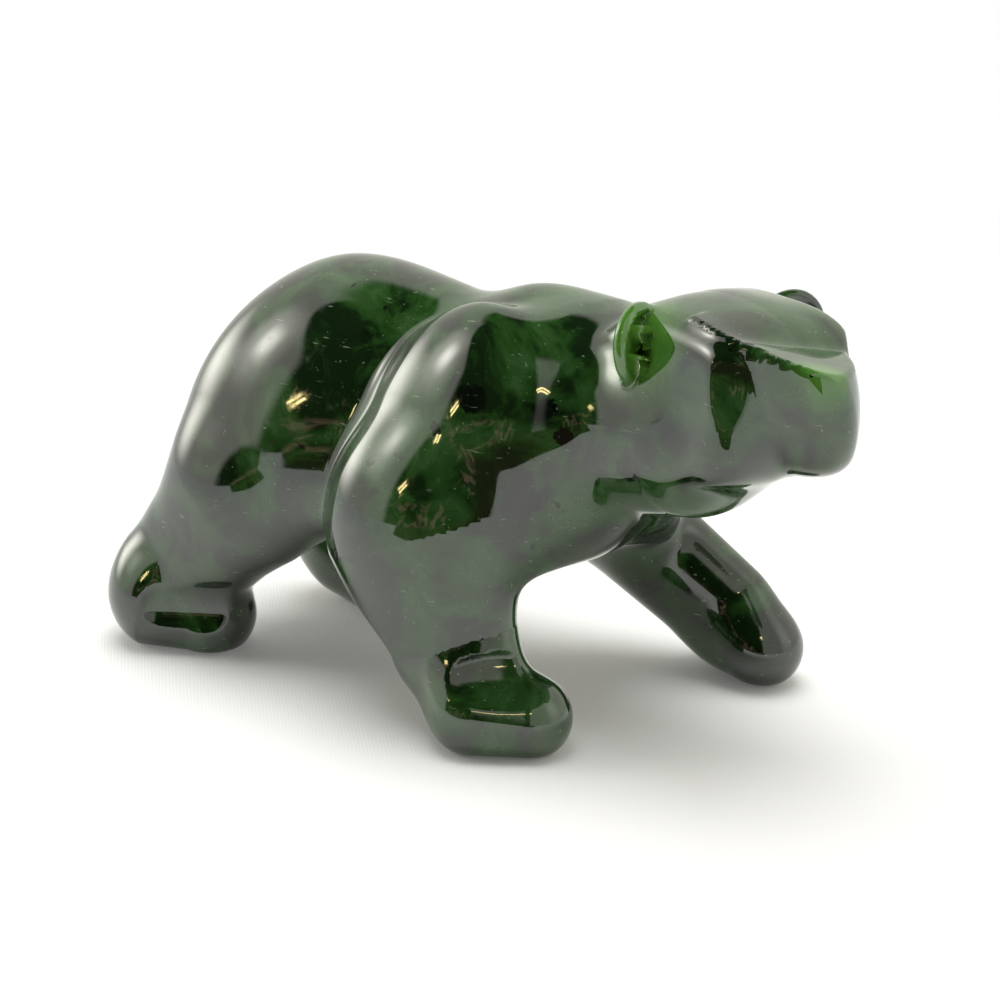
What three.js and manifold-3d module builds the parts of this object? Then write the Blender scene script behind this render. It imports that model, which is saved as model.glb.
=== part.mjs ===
// A walking bear carved from one piece of polished green stone.
//
// Frame: millimetres, +X towards the nose, +Y to the bear's left, +Z up,
// soles on z = 0. The bear is one solid.
//
// The form is a signed distance field: ellipsoids, squashed round cones and flat
// cuts, joined with soft blends. Its zero level is turned into a closed triangle
// mesh, and the soles are then cut flat at the floor.

import * as THREE from "three";
import Module from "manifold-3d";

// Sizes.

const LENGTH = 118.3; // heel to nose, mm
const TABLE_LENGTH = 118.1; // length of the table of shapes below
const UNIT = LENGTH / TABLE_LENGTH;

const HEAD_TURN = -17; // degrees about Z, towards the bear's right
const HEAD_AT = [37.6, -1.0, 50.9];
const MUZZLE_TURN = -9; // degrees about Z, on top of the head's turn
const FAR_CHEEK = 1.14; // the far cheek is narrower by this factor
const BELLY_HEIGHT = 20.7; // underside of the trunk
const BELLY_RISE = 0.08; // rise of the underside per unit away from the middle
const CENTRE = [-0.06, 2.7]; // middle of the footprint box

const BODY_CELL = 2.9; // mesh cell on the trunk and legs
const HEAD_CELL = 2.0; // mesh cell on the head
const FIELD_LOW = -7; // the field is meshed from here, below the soles
const FIELD_TOP = 68;
const FIELD_ENDS = [-64, 64]; // along X
const FIELD_SIDES = [-32, 34]; // along Y
const HEAD_FROM_X = [16, 26]; // the cells shrink to the head's over these
const HEAD_FROM_Z = [32, 44];

// Shapes.

const DEG = Math.PI / 180;

// Rotation given as yaw about Z, then pitch about Y (nose down), then roll about X.
function turnMatrix([yaw, pitch, roll]) {
  return new THREE.Matrix4().makeRotationFromEuler(
    new THREE.Euler(roll * DEG, pitch * DEG, yaw * DEG, "ZYX"),
  );
}

// Returns a function that takes world coordinates into the turned local frame.
function localFrame(at, turn = [0, 0, 0]) {
  const m = turnMatrix(turn).elements;
  return (x, y, z) => {
    const dx = x - at[0];
    const dy = y - at[1];
    const dz = z - at[2];
    return [
      dx * m[0] + dy * m[1] + dz * m[2],
      dx * m[4] + dy * m[5] + dz * m[6],
      dx * m[8] + dy * m[9] + dz * m[10],
    ];
  };
}

// Ellipsoid; a power above 2 gives flatter sides.
function ellipsoid(at, radii, turn, power = 2) {
  const local = localFrame(at, turn);
  return (x, y, z) => {
    const q = local(x, y, z);
    let sum = 0;
    let slope = 0;
    for (let i = 0; i < 3; i += 1) {
      const a = Math.abs(q[i]) / radii[i];
      sum += a ** power;
      slope += (a ** (power - 1) / radii[i]) ** 2;
    }
    const level = sum ** (1 / power);
    const gradient = Math.sqrt(slope) / Math.max(level, 1e-9) ** (power - 1);
    return (level - 1) / Math.max(gradient, 1e-9);
  };
}

// Round cone from a to b; squash scales it along the turned frame's axes.
function roundCone(a, b, ra, rb, squash = [1, 1, 1], turn = [0, 0, 0]) {
  const ab = [b[0] - a[0], b[1] - a[1], b[2] - a[2]];
  const length2 = ab[0] ** 2 + ab[1] ** 2 + ab[2] ** 2;
  const local = localFrame([0, 0, 0], turn);
  return (x, y, z) => {
    const p = [x - a[0], y - a[1], z - a[2]];
    const dot = p[0] * ab[0] + p[1] * ab[1] + p[2] * ab[2];
    const t = Math.min(Math.max(dot / length2, 0), 1);
    const r = ra + (rb - ra) * t;
    const d = local(p[0] - t * ab[0], p[1] - t * ab[1], p[2] - t * ab[2]);
    let k0 = 0;
    let k1 = 0;
    for (let i = 0; i < 3; i += 1) {
      k0 += (d[i] / squash[i]) ** 2;
      k1 += (d[i] / squash[i] ** 2) ** 2;
    }
    k0 = Math.sqrt(k0);
    k1 = Math.sqrt(k1);
    return k0 < 1e-6 ? -r : ((k0 - r) * k0) / k1;
  };
}

// Distance past a plane. Its normal starts at -Y, turns by yaw towards +X and
// rises by pitch.
function pastPlane(at, yaw, pitch) {
  const normal = [
    Math.sin(yaw * DEG) * Math.cos(pitch * DEG),
    -Math.cos(yaw * DEG) * Math.cos(pitch * DEG),
    Math.sin(pitch * DEG),
  ];
  return (x, y, z) =>
    (x - at[0]) * normal[0] + (y - at[1]) * normal[1] + (z - at[2]) * normal[2];
}

// Soft join of two distances over the width k.
function join(a, b, k) {
  const h = Math.max(k - Math.abs(a - b), 0) / k;
  return Math.min(a, b) - (h * h * k) / 4;
}

// Takes shape b out of shape a, with a soft rim of width k.
function cut(a, b, k) {
  return -join(-a, b, k);
}

// What shapes a and b share, with a soft rim of width k.
function shared(a, b, k) {
  return cut(a, -b, k);
}

function smoothStep(x, from, to) {
  const t = Math.min(Math.max((x - from) / (to - from), 0), 1);
  return t * t * (3 - 2 * t);
}

// The bear.

// Each entry: [shape, blend width]. Numbers are in parts of the length.
const TRUNK = [
  [ellipsoid([-27.2, 0, 27.4], [24.9, 19.8, 32.2], [0, 14.3, 0]), 0], // rump
  [ellipsoid([-9.6, 0, 30.1], [28.1, 16.8, 27.0]), 6], // barrel
  [ellipsoid([7.1, 0, 34.1], [16.7, 17.0, 25.5]), 5], // chest
];

const NECK = [roundCone([18.3, 0.4, 44.3], [32.7, -1.8, 45.6], 14.2, 12.4), 6];

// The shapes of the head are in its own frame.
const SKULL = ellipsoid([0, 0, 0], [13.0, 12.0, 11.9], [0, 0, 0], 2.3);
const FOREHEAD = ellipsoid([2, -2.5, 0], [10.8, 7.5, 10.7], [-9, 0, 0], 3);
const CHEEK = ellipsoid([0.5, -4, 0.5], [13.5, 11.0, 10.9], [0, 0, 0], 3.2);
const CHEEK_SIDE = pastPlane([8, -12.2, 0], -3, 3);
const CHEEK_TOP = pastPlane([6, -10.4, 10.6], 2, 42);
const EYE_HOLLOW = ellipsoid([16.7, -16.7, 6.4], [8.4, 8.3, 11.0]);

// The muzzle lies between two curved sides, under a flat top.
const muzzleFrame = localFrame([8, 0, 0], [MUZZLE_TURN, 0, 0]);
const MUZZLE_NEAR = ellipsoid([-0.4, 9.5, 7], [18.9, 18.9, 24]);
const MUZZLE_FAR = ellipsoid([-0.4, -9.5, 0], [18.9, 18.9, 20]);
const MUZZLE_TOP = pastPlane([14.7, -7.5, 9.4], 140, 75.6);
const MUZZLE_BACK = -4;
const CHIN = { depth: 10.2, slope: 0.06 };

const EARS = [
  ellipsoid([-5.0, -11.2, 6.4], [2.3, 5.1, 5.6], [20, 0, 25]),
  ellipsoid([-2.9, 12.4, 5.2], [2.3, 5.0, 5.4], [-20, 0, -25]),
];

const FAR_FORE_SHOULDER = [
  ellipsoid([6.8, 11.3, 35.3], [16.1, 9.0, 18.7], [0.7, 7.4, 21]),
  5,
];
const FAR_FORE_LEG = [
  [
    roundCone([4.4, 18.5, 23.5], [23.2, 23.2, 9.4], 9.0, 8.0, [1, 0.66, 1]),
    0,
  ],
  [roundCone([21.4, 26.0, 6.9], [29.7, 23.2, 5.2], 5.3, 5.8), 4],
];
const NEAR_HIND_LEG = [
  [ellipsoid([-31.2, -10.1, 34.6], [15.1, 8.7, 19.5], [-1.2, 23.2, -17.9]), 6],
  [
    roundCone([-36.6, -13.9, 24.6], [-48.6, -15, 10.6], 11.3, 9.2, [1, 0.75, 1]),
    5,
  ],
  [roundCone([-49.8, -15.8, 7.4], [-43.0, -14.2, 5.0], 9.2, 6.7), 3],
];
const FAR_THIGH = [
  ellipsoid([-28.4, 10.1, 33.7], [14.9, 9.5, 20.6], [0.2, 18.4, 15.8]),
  6,
];
const FAR_HIND_LEG = [
  [roundCone([-34, 13, 22], [-40, 12.3, 11.8], 9.5, 8.8, [1, 0.81, 1]), 0],
  [roundCone([-38.8, 13.9, 6.6], [-30.4, 11.6, 5.2], 6.6, 6.0), 3],
];
const NEAR_FORE_LEG = [
  [ellipsoid([-0.8, -12.3, 36.3], [15.3, 9.1, 24.3], [-18.5, 24.3, -13.1]), 0],
  [
    roundCone(
      [-1.2, -16.8, 27.8],
      [5.8, -19.5, 12.7],
      13.9,
      10.3,
      [1, 0.61, 1],
      [0, 0, -5],
    ),
    5,
  ],
  [roundCone([9, -17.6, 5.5], [15.5, -14.1, 4.8], 6.6, 5.8), 5],
];

// Joins a list of [shape, blend width] entries, the first taken as it is.
function joined(parts, x, y, z) {
  return parts.reduce(
    (d, [shape, k], i) => (i ? join(d, shape(x, y, z), k) : shape(x, y, z)),
    0,
  );
}

const headFrame = localFrame(HEAD_AT, [HEAD_TURN, 0, 0]);

// Skull, forehead and cheeks, with a hollow below each brow. The arguments are
// in the head's frame.
function skullField(x, y, z) {
  const near = y > 0 ? -FAR_CHEEK * y : y;
  let cheek = CHEEK(x, near, z);
  cheek = shared(cheek, CHEEK_SIDE(x, near, z), 2);
  cheek = shared(cheek, CHEEK_TOP(x, near, z), 1.5);
  let d = join(SKULL(x, near, z), FOREHEAD(x, y, z), 1.5);
  d = join(d, cheek, 2);
  return cut(d, EYE_HOLLOW(x, near, z), 0.6);
}

function muzzleField(x, y, z) {
  const q = muzzleFrame(x, y, z);
  let d = shared(MUZZLE_NEAR(...q), MUZZLE_FAR(...q), 3);
  d = shared(d, MUZZLE_BACK - q[0], 1);
  d = shared(d, MUZZLE_TOP(x, y, z), 0.5);
  return shared(d, -(q[2] + CHIN.depth - CHIN.slope * q[0]), 5);
}

// Distance to the bear's surface, negative inside.
function bearField(x, y, z) {
  let d = joined(TRUNK, x, y, z);
  d = cut(d, z - (BELLY_HEIGHT + BELLY_RISE * Math.abs(x + 2)), 10);
  d = join(d, NECK[0](x, y, z), NECK[1]);
  const h = headFrame(x, y, z);
  d = join(d, skullField(...h), 3);
  d = join(d, muzzleField(...h), 0.8);
  d = join(d, FAR_FORE_SHOULDER[0](x, y, z), FAR_FORE_SHOULDER[1]);
  d = join(d, joined(FAR_FORE_LEG, x, y, z), 5);
  for (const [shape, k] of NEAR_HIND_LEG) d = join(d, shape(x, y, z), k);
  d = join(d, FAR_THIGH[0](x, y, z), FAR_THIGH[1]);
  d = join(d, joined(FAR_HIND_LEG, x, y, z), 5);
  // The near shoulder stands off the flank with a crisp crease behind it.
  const crease = 1.5 + 8 * smoothStep(x, 4, 18);
  d = join(d, joined(NEAR_FORE_LEG, x, y, z), crease);
  for (const ear of EARS) d = join(d, ear(...h), 0.8);
  return d;
}

// Meshing.

// Grid lines from lo to hi whose spacing follows cell(position).
function gridLines(lo, hi, cell) {
  const lines = [lo];
  while (lines.at(-1) < hi) lines.push(lines.at(-1) + cell(lines.at(-1)));
  return lines;
}

// Moves a point onto the field's zero level.
function settle(field, p) {
  const e = 0.02;
  for (let pass = 0; pass < 6; pass += 1) {
    const d = field(...p);
    const g = [0, 1, 2].map((i) => {
      const q = [...p];
      q[i] += e;
      const high = field(...q);
      q[i] -= 2 * e;
      return (high - field(...q)) / (2 * e);
    });
    const g2 = g[0] ** 2 + g[1] ** 2 + g[2] ** 2;
    for (let i = 0; i < 3; i += 1) p[i] -= (0.9 * d * g[i]) / Math.max(g2, 0.05);
  }
  return p;
}

// The twelve edges of a cell as [corner, corner], and the edges round its six
// sides. A corner's bits are its steps along X, Y and Z.
const CELL_EDGES = [1, 2, 4].flatMap((bit) =>
  [0, 1, 2, 3, 4, 5, 6, 7].filter((c) => !(c & bit)).map((c) => [c, c | bit]),
);
const CELL_SIDES = [1, 2, 4].flatMap((bit) =>
  [0, bit].map((level) =>
    CELL_EDGES.flatMap(([a, b], e) =>
      (a & bit) === level && (b & bit) === level ? [e] : [],
    ),
  ),
);

// Numbers the separate sheets of surface in a cell: for each crossed edge the
// sheet it belongs to, -1 elsewhere. inside holds the sign of each corner.
function sheetsOf(inside) {
  const crossed = CELL_EDGES.map(([a, b]) => inside[a] !== inside[b]);
  const sheet = CELL_EDGES.map((_, e) => (crossed[e] ? e : -1));
  const unite = (e, f) => {
    const [from, to] = [sheet[e], sheet[f]];
    for (let i = 0; i < 12; i += 1) if (sheet[i] === from) sheet[i] = to;
  };
  for (const side of CELL_SIDES) {
    const cut4 = side.filter((e) => crossed[e]);
    if (cut4.length === 2) unite(cut4[0], cut4[1]);
    if (cut4.length !== 4) continue;
    // Two inside corners across a diagonal stay apart.
    const insideCorner = (e) => CELL_EDGES[e].find((c) => inside[c]);
    for (const e of cut4)
      for (const f of cut4)
        if (e < f && insideCorner(e) === insideCorner(f)) unite(e, f);
  }
  return sheet;
}

// Closed mesh of the zero level: one vertex for each sheet of surface in a
// cell, and one four-sided face across each grid edge the surface crosses.
function meshField(field, xs, ys, zs) {
  const [nx, ny, nz] = [xs.length, ys.length, zs.length];
  const at = (i, j, k) => (k * ny + j) * nx + i;
  const value = new Float64Array(nx * ny * nz);
  for (let k = 0; k < nz; k += 1)
    for (let j = 0; j < ny; j += 1)
      for (let i = 0; i < nx; i += 1)
        value[at(i, j, k)] = field(xs[i], ys[j], zs[k]);

  const vertices = [];
  const vertexOf = new Map(); // cell number * 12 + edge -> vertex
  for (let k = 0; k + 1 < nz; k += 1)
    for (let j = 0; j + 1 < ny; j += 1)
      for (let i = 0; i + 1 < nx; i += 1) addVertices(i, j, k);

  function addVertices(i, j, k) {
    const corner = (c) => [i + (c & 1), j + ((c >> 1) & 1), k + (c >> 2)];
    const values = [0, 1, 2, 3, 4, 5, 6, 7].map((c) => value[at(...corner(c))]);
    const sheet = sheetsOf(values.map((v) => v < 0));
    for (const id of new Set(sheet)) {
      if (id < 0) continue;
      const mean = [0, 0, 0];
      const edges = CELL_EDGES.filter((_, e) => sheet[e] === id);
      for (const [a, b] of edges) {
        const t = values[a] / (values[a] - values[b]);
        const [A, B] = [corner(a), corner(b)];
        mean[0] += (xs[A[0]] + t * (xs[B[0]] - xs[A[0]])) / edges.length;
        mean[1] += (ys[A[1]] + t * (ys[B[1]] - ys[A[1]])) / edges.length;
        mean[2] += (zs[A[2]] + t * (zs[B[2]] - zs[A[2]])) / edges.length;
      }
      const p = settle(field, [...mean]);
      const far = Math.hypot(p[0] - mean[0], p[1] - mean[1], p[2] - mean[2]);
      sheet.forEach((v, e) => {
        if (v === id) vertexOf.set(at(i, j, k) * 12 + e, vertices.length);
      });
      vertices.push(far < 0.6 * (xs[i + 1] - xs[i]) ? p : mean);
    }
  }

  const faces = [];
  const gap = (a, b) =>
    Math.hypot(...[0, 1, 2].map((i) => vertices[a][i] - vertices[b][i]));
  function face(ring, outward) {
    if (!outward) ring.reverse();
    if (gap(ring[0], ring[2]) < gap(ring[1], ring[3]))
      faces.push(ring[0], ring[1], ring[2], ring[0], ring[2], ring[3]);
    else faces.push(ring[1], ring[2], ring[3], ring[1], ring[3], ring[0]);
  }
  // The four cells round a grid edge, in order seen from its far end.
  const round = [
    [[0, 1, 1], [0, 0, 1], [0, 0, 0], [0, 1, 0]],
    [[1, 0, 1], [1, 0, 0], [0, 0, 0], [0, 0, 1]],
    [[1, 1, 0], [0, 1, 0], [0, 0, 0], [1, 0, 0]],
  ];
  for (let k = 1; k + 1 < nz; k += 1)
    for (let j = 1; j + 1 < ny; j += 1)
      for (let i = 1; i + 1 < nx; i += 1)
        for (let axis = 0; axis < 3; axis += 1) {
          const v = value[at(i, j, k)] < 0;
          const next = [i, j, k];
          next[axis] += 1;
          if (v === value[at(...next)] < 0) continue;
          const ring = round[axis].map(([a, b, c]) => {
            const low = a + 2 * b + 4 * c;
            const e = CELL_EDGES.findIndex(
              ([p, q]) => p === low && q === (low | (1 << axis)),
            );
            return vertexOf.get(at(i - a, j - b, k - c) * 12 + e);
          });
          face(ring, v);
        }
  return { vertices, faces };
}

// Cells are small on the head and larger on the trunk and legs.
const blendCell = (t) => BODY_CELL + (HEAD_CELL - BODY_CELL) * t;
const xs = gridLines(...FIELD_ENDS, (x) => blendCell(smoothStep(x, ...HEAD_FROM_X)));
const ys = gridLines(...FIELD_SIDES, () => blendCell(0.7));
const zs = gridLines(FIELD_LOW, FIELD_TOP, (z) =>
  blendCell(smoothStep(z, ...HEAD_FROM_Z)),
);
const mesh = meshField(bearField, xs, ys, zs);

// Floor cut.

const wasm = await Module();
wasm.setup();

const place = ([x, y, z]) => [
  (x - CENTRE[0]) * UNIT,
  (y - CENTRE[1]) * UNIT,
  z * UNIT,
];
const carved = new wasm.Manifold(
  new wasm.Mesh({
    numProp: 3,
    vertProperties: new Float32Array(mesh.vertices.flatMap(place)),
    triVerts: new Uint32Array(mesh.faces),
  }),
);
const slab = new THREE.BoxGeometry(2 * LENGTH, 2 * LENGTH, LENGTH);
slab.translate(0, 0, -LENGTH / 2);
const floor = new wasm.Manifold(
  new wasm.Mesh({
    numProp: 3,
    vertProperties: boxCorners(slab),
    triVerts: boxFaces(slab),
  }),
);

// The box geometry has four vertices a side; the solid needs eight corners.
function cornerIndex(geometry) {
  const p = geometry.getAttribute("position");
  const found = new Map();
  const index = [];
  for (let i = 0; i < p.count; i += 1) {
    const key = [p.getX(i), p.getY(i), p.getZ(i)].join(",");
    if (!found.has(key)) found.set(key, found.size);
    index.push(found.get(key));
  }
  return { found, index };
}

function boxCorners(geometry) {
  const { found } = cornerIndex(geometry);
  return new Float32Array(
    [...found.keys()].flatMap((key) => key.split(",").map(Number)),
  );
}

function boxFaces(geometry) {
  const { index } = cornerIndex(geometry);
  return new Uint32Array([...geometry.index.array].map((i) => index[i]));
}

const solid = carved.subtract(floor).getMesh();
const geometry = new THREE.BufferGeometry();
geometry.setAttribute(
  "position",
  new THREE.BufferAttribute(new Float32Array(solid.vertProperties), 3),
);
geometry.setIndex(new THREE.BufferAttribute(new Uint32Array(solid.triVerts), 1));
geometry.computeVertexNormals();

const bear = new THREE.Mesh(
  geometry,
  new THREE.MeshStandardMaterial({ color: 0x2f4a2c, roughness: 0.15 }),
);
bear.name = "bear";

const group = new THREE.Group();
group.add(bear);
export default group;
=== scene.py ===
"""Fine form, polished stone and studio for a carved green stone bear.

The carving is blocked out from plain masses, fused into one skin, and settled
on the soft-blended form of the source model, with the ear hollows, muzzle edges
and paw creases cut finer. The stone and the light tent are procedural.
"""

import logging
import math
from dataclasses import dataclass, field
from enum import Enum

import bpy
import numpy as np
from mathutils import Euler, Matrix, Vector


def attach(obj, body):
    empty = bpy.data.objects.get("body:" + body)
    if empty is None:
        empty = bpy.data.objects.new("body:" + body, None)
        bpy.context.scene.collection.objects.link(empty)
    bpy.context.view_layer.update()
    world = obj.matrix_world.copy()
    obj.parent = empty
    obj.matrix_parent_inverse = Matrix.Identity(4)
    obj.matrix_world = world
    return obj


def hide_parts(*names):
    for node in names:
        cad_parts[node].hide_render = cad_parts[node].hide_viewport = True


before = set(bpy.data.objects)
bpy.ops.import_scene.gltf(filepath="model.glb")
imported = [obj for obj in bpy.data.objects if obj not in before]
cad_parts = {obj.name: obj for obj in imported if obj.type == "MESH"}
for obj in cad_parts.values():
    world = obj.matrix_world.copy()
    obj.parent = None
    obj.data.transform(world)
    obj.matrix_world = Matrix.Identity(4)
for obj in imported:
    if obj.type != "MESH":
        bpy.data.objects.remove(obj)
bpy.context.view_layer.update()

LOG = logging.getLogger("bear")
MM = 0.001
Point = tuple[float, float, float]


class Side(Enum):
    """A side of the animal, as the sign of its Y."""

    RIGHT = -1
    LEFT = 1


def turn_matrix(turn: Point) -> np.ndarray:
    """Gives the rotation for a turn.

    Args:
        turn: yaw about Z, pitch about Y (nose down), roll about X, in degrees.

    Returns:
        A 3 by 3 matrix whose columns are the turned axes.
    """
    yaw, pitch, roll = (math.radians(a) for a in turn)
    return np.array(Euler((roll, pitch, yaw), "XYZ").to_matrix())


def soft_join(a: np.ndarray, b: np.ndarray, width: float | np.ndarray) -> np.ndarray:
    """Joins two distances with a fillet.

    Args:
        a: first distance.
        b: second distance.
        width: width of the fillet, mm.

    Returns:
        The joined distance.
    """
    h = np.maximum(width - np.abs(a - b), 0) / width
    return np.minimum(a, b) - h * h * width / 4


def soft_cut(a: np.ndarray, b: np.ndarray, width: float) -> np.ndarray:
    """Takes shape b out of shape a with an eased rim.

    Args:
        a: distance of the body.
        b: distance of the cutter.
        width: width of the rim, mm.

    Returns:
        The distance of what is left.
    """
    return -soft_join(-a, b, width)


def soft_share(a: np.ndarray, b: np.ndarray, width: float) -> np.ndarray:
    """Keeps what two shapes share, with an eased rim.

    Args:
        a: first distance.
        b: second distance.
        width: width of the rim, mm.

    Returns:
        The distance of the shared shape.
    """
    return soft_cut(a, -b, width)


def ease(x: np.ndarray, start: float, end: float) -> np.ndarray:
    """Rises smoothly from 0 at start to 1 at end.

    Args:
        x: positions.
        start: where the rise starts.
        end: where it ends.

    Returns:
        Values from 0 to 1.
    """
    t = np.clip((x - start) / (end - start), 0, 1)
    return t * t * (3 - 2 * t)


def add_ball(name: str, at: Point, radii: Point, turn: Point = (0, 0, 0)) -> bpy.types.Object:
    """Adds a ball squashed to three radii.

    Args:
        name: name of the new object.
        at: centre, mm.
        radii: radii along its own axes, mm.
        turn: its turn, degrees.

    Returns:
        The object, with its place in its mesh.
    """
    bpy.ops.object.select_all(action="DESELECT")
    bpy.ops.mesh.primitive_uv_sphere_add(segments=48, ring_count=24, radius=MM, location=(0, 0, 0))
    ball = bpy.context.object
    ball.name = name
    place = Matrix(turn_matrix(turn).tolist()).to_4x4()
    ball.matrix_world = Matrix.Translation(Vector(at) * MM) @ place @ Matrix.Diagonal((*radii, 1))
    bpy.ops.object.transform_apply(location=True, rotation=True, scale=True)
    return ball


def select_only(objects: list[bpy.types.Object]) -> None:
    """Selects these objects alone and makes the first one active.

    Args:
        objects: the objects to select.
    """
    bpy.ops.object.select_all(action="DESELECT")
    for thing in objects:
        thing.select_set(True)
    bpy.context.view_layer.objects.active = objects[0]


def fuse(objects: list[bpy.types.Object], name: str) -> bpy.types.Object:
    """Joins objects into one.

    Args:
        objects: the objects to join.
        name: name of the result.

    Returns:
        The joined object.
    """
    select_only(objects)
    if len(objects) > 1:
        bpy.ops.object.join()
    joined = bpy.context.object
    joined.name = name
    joined.data.name = name
    return joined


def wrap_hull(thing: bpy.types.Object) -> bpy.types.Object:
    """Stretches one skin round all of an object's points.

    Args:
        thing: the object to wrap.

    Returns:
        The same object.
    """
    select_only([thing])
    bpy.ops.object.mode_set(mode="EDIT")
    bpy.ops.mesh.select_all(action="SELECT")
    bpy.ops.mesh.convex_hull()
    bpy.ops.object.mode_set(mode="OBJECT")
    return thing


def slice_off(thing: bpy.types.Object, height: float, closed: bool = True) -> bpy.types.Object:
    """Cuts away what lies below a height.

    Args:
        thing: the object to cut.
        height: height of the cut, mm.
        closed: whether the cut is filled in.

    Returns:
        The same object.
    """
    select_only([thing])
    bpy.ops.object.mode_set(mode="EDIT")
    bpy.ops.mesh.select_all(action="SELECT")
    bpy.ops.mesh.bisect(
        plane_co=(0, 0, height * MM), plane_no=(0, 0, 1), use_fill=closed, clear_inner=True
    )
    bpy.ops.object.mode_set(mode="OBJECT")
    return thing


@dataclass(frozen=True)
class Mass:
    """A rounded mass of muscle, an ellipsoid; a power above 2 flattens its sides."""

    name: str
    at: Point
    radii: Point
    turn: Point = (0, 0, 0)
    power: float = 2.0

    def distance(self, p: np.ndarray) -> np.ndarray:
        """Gives the distance of points from the mass.

        Args:
            p: points, one a row.

        Returns:
            Distances, negative inside.
        """
        q = np.abs((p - np.array(self.at)) @ turn_matrix(self.turn)) / np.array(self.radii)
        level = (q**self.power).sum(-1) ** (1 / self.power)
        slope = np.sqrt((((q ** (self.power - 1)) / np.array(self.radii)) ** 2).sum(-1))
        slope /= np.maximum(level, 1e-9) ** (self.power - 1)
        return (level - 1) / np.maximum(slope, 1e-9)

    def block_out(self) -> bpy.types.Object:
        """Adds the mass as a plain ball."""
        return add_ball(self.name, self.at, self.radii, self.turn)


@dataclass(frozen=True)
class Limb:
    """A tapering limb between two balls, squashed along the turned axes."""

    name: str
    start: Point
    end: Point
    start_radius: float
    end_radius: float
    squash: Point = (1, 1, 1)
    turn: Point = (0, 0, 0)

    def distance(self, p: np.ndarray) -> np.ndarray:
        """Gives the distance of points from the limb.

        Args:
            p: points, one a row.

        Returns:
            Distances, negative inside.
        """
        a = np.array(self.start, float)
        along = np.array(self.end, float) - a
        t = np.clip(((p - a) @ along) / (along @ along), 0, 1)
        r = self.start_radius + (self.end_radius - self.start_radius) * t
        q = (p - a - t[:, None] * along) @ turn_matrix(self.turn) / np.array(self.squash)
        k0 = np.sqrt((q * q).sum(-1))
        k1 = np.sqrt(((q / np.array(self.squash)) ** 2).sum(-1))
        return np.where(k0 < 1e-6, -r, (k0 - r) * k0 / np.maximum(k1, 1e-9))

    def block_out(self) -> bpy.types.Object:
        """Adds two balls and stretches a skin round them.

        Returns:
            The limb, with its place in its mesh.
        """
        ends = [(self.start, self.start_radius), (self.end, self.end_radius)]
        balls = [
            add_ball(self.name, at, tuple(radius * s for s in self.squash), self.turn)
            for at, radius in ends
        ]
        return wrap_hull(fuse(balls, self.name))


@dataclass(frozen=True)
class Facet:
    """A flat cut. Its normal starts at -Y, turns by yaw towards +X and rises by pitch."""

    at: Point
    yaw: float
    pitch: float

    def distance(self, p: np.ndarray) -> np.ndarray:
        """Gives how far points are past the cut.

        Args:
            p: points, one a row.

        Returns:
            Distances, negative on the side that stays.
        """
        yaw, pitch = math.radians(self.yaw), math.radians(self.pitch)
        normal = np.array(
            [
                math.sin(yaw) * math.cos(pitch),
                -math.cos(yaw) * math.cos(pitch),
                math.sin(pitch),
            ]
        )
        return (p - np.array(self.at)) @ normal


@dataclass(frozen=True)
class Muzzle:
    """The muzzle: two curved sides that meet at the nose, under a flat top."""

    pivot: Point = (8, 0, 0)
    turn: float = -9
    near_side: Mass = Mass("near_side", (-3.2, 13.7, 10.5), (24, 24, 26))
    far_side: Mass = Mass("far_side", (-0.4, -9.5, 0), (18.9, 18.9, 20))
    top: Facet = Facet((14.7, -7.5, 9.4), 140, 75.6)
    back: float = -4
    chin_depth: float = 10.2
    chin_slope: float = 0.06
    nose_edge: float = 3
    back_edge: float = 1
    top_edge: float = 0.5
    chin_edge: float = 5
    core: Mass = Mass("muzzle", (13.0, -1.5, 0.3), (9.5, 8.0, 9.3))

    def distance(self, h: np.ndarray) -> np.ndarray:
        """Gives the distance of points in the head's frame.

        Args:
            h: points, one a row.

        Returns:
            Distances, negative inside.
        """
        q = (h - np.array(self.pivot)) @ turn_matrix((self.turn, 0, 0))
        d = soft_share(self.near_side.distance(q), self.far_side.distance(q), self.nose_edge)
        d = soft_share(d, self.back - q[:, 0], self.back_edge)
        d = soft_share(d, self.top.distance(h), self.top_edge)
        chin = -(q[:, 2] + self.chin_depth - self.chin_slope * q[:, 0])
        return soft_share(d, chin, self.chin_edge)


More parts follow.
